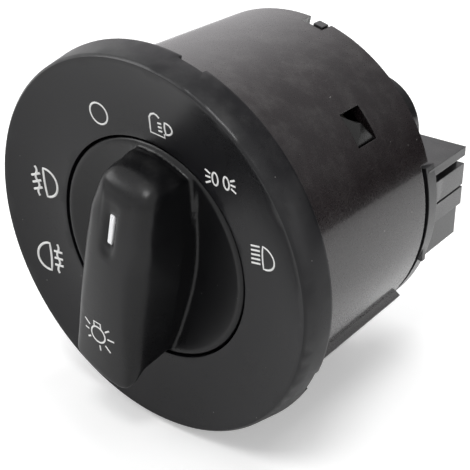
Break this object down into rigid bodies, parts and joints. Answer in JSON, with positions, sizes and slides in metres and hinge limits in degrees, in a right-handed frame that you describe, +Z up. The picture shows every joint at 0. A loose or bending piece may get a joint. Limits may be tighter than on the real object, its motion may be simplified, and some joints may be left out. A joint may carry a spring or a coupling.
{
  "type": "headlight switch",
  "caption": "Round rotary headlight switch with a dished face, a turn, pull and push knob, side latches and a rear multi-pin connector.",
  "frame": {"origin": "centre of the bezel's rear rim, where it seats on the dashboard panel", "axes": "+Y along the switch axis into the panel, +Z up as mounted, +X to the driver's right"},
  "size_m": [0.075, 0.0686, 0.075],
  "materials": {
    "housing_black": "satin moulded black",
    "face_black": "fine matt soft-touch black",
    "knob_black": "fine matt soft-touch black",
    "cover_black": "moulded black",
    "clear_plastic": "clear moulded light guide",
    "lens_white": "translucent white",
    "board_green": "laminated circuit board",
    "lamp_yellow": "lamp with yellow phosphor",
    "inner_black": "moulded inner piece",
    "natural_plastic": "natural acetal",
    "contact_brass": "stamped strip",
    "pin_tin": "tin-plated brass",
    "spring_steel": "spring wire",
    "ball_steel": "polished ball"
  },
  "bodies": {
    "housing": {"barrel_housing": "housing_black", "front_bezel": "face_black", "light_guide": "clear_plastic", "circuit_board": "board_green", "board_leds": "lamp_yellow", "contact_plate": "inner_black", "contact_tracks": "contact_brass", "terminal_board": "board_green", "bus_bars": "contact_brass", "terminal_pins": "pin_tin", "pull_contacts": "contact_brass", "rear_cover": "cover_black", "shaft_led": "lamp_yellow", "release_spring": "spring_steel", "knob_spring": "spring_steel"},
    "rotor": {"rotor_carrier": "natural_plastic", "contact_bridges": "contact_brass", "detent_spring": "spring_steel", "detent_ball": "ball_steel"},
    "knob": {"knob_cap": "knob_black", "indicator_lens": "lens_white", "knob_shaft": "natural_plastic", "light_pipe": "clear_plastic", "pull_slider": "inner_black", "pull_wiper": "contact_brass", "shaft_clip": "spring_steel"},
    "release_ring": {"release_ring": "natural_plastic"},
    "latch_right": {"latch_right": "inner_black"},
    "latch_left": {"latch_left": "inner_black"}
  },
  "joints": [
    {"name": "knob_turn", "type": "hinge", "parent": "housing", "child": "rotor", "pos_m": [0, 0.013, 0], "axis": [0, 1, 0], "range_deg": [-30, 60]},
    {"name": "knob_pull", "type": "slide", "parent": "rotor", "child": "knob", "axis": [0, -1, 0], "range_m": [-0.0025, 0.007], "deforming": ["knob_spring"]},
    {"name": "release_turn", "type": "hinge", "parent": "housing", "child": "release_ring", "pos_m": [0, 0.029, 0], "axis": [0, 1, 0], "range_deg": [0, 30], "deforming": ["release_spring"]},
    {"name": "latch_right_slide", "type": "slide", "parent": "housing", "child": "latch_right", "axis": [-0.7749, 0, -0.632], "range_m": [0, 0.003], "stiffness_N_per_m": 20, "springref_m": -0.01},
    {"name": "latch_left_slide", "type": "slide", "parent": "housing", "child": "latch_left", "axis": [0.7749, 0, 0.632], "range_m": [0, 0.003]}
  ],
  "couplings": [
    {"joint": "release_turn", "follows": "latch_right_slide", "rad_per_m": 174.53},
    {"joint": "latch_left_slide", "follows": "latch_right_slide", "ratio": 1}
  ]
}
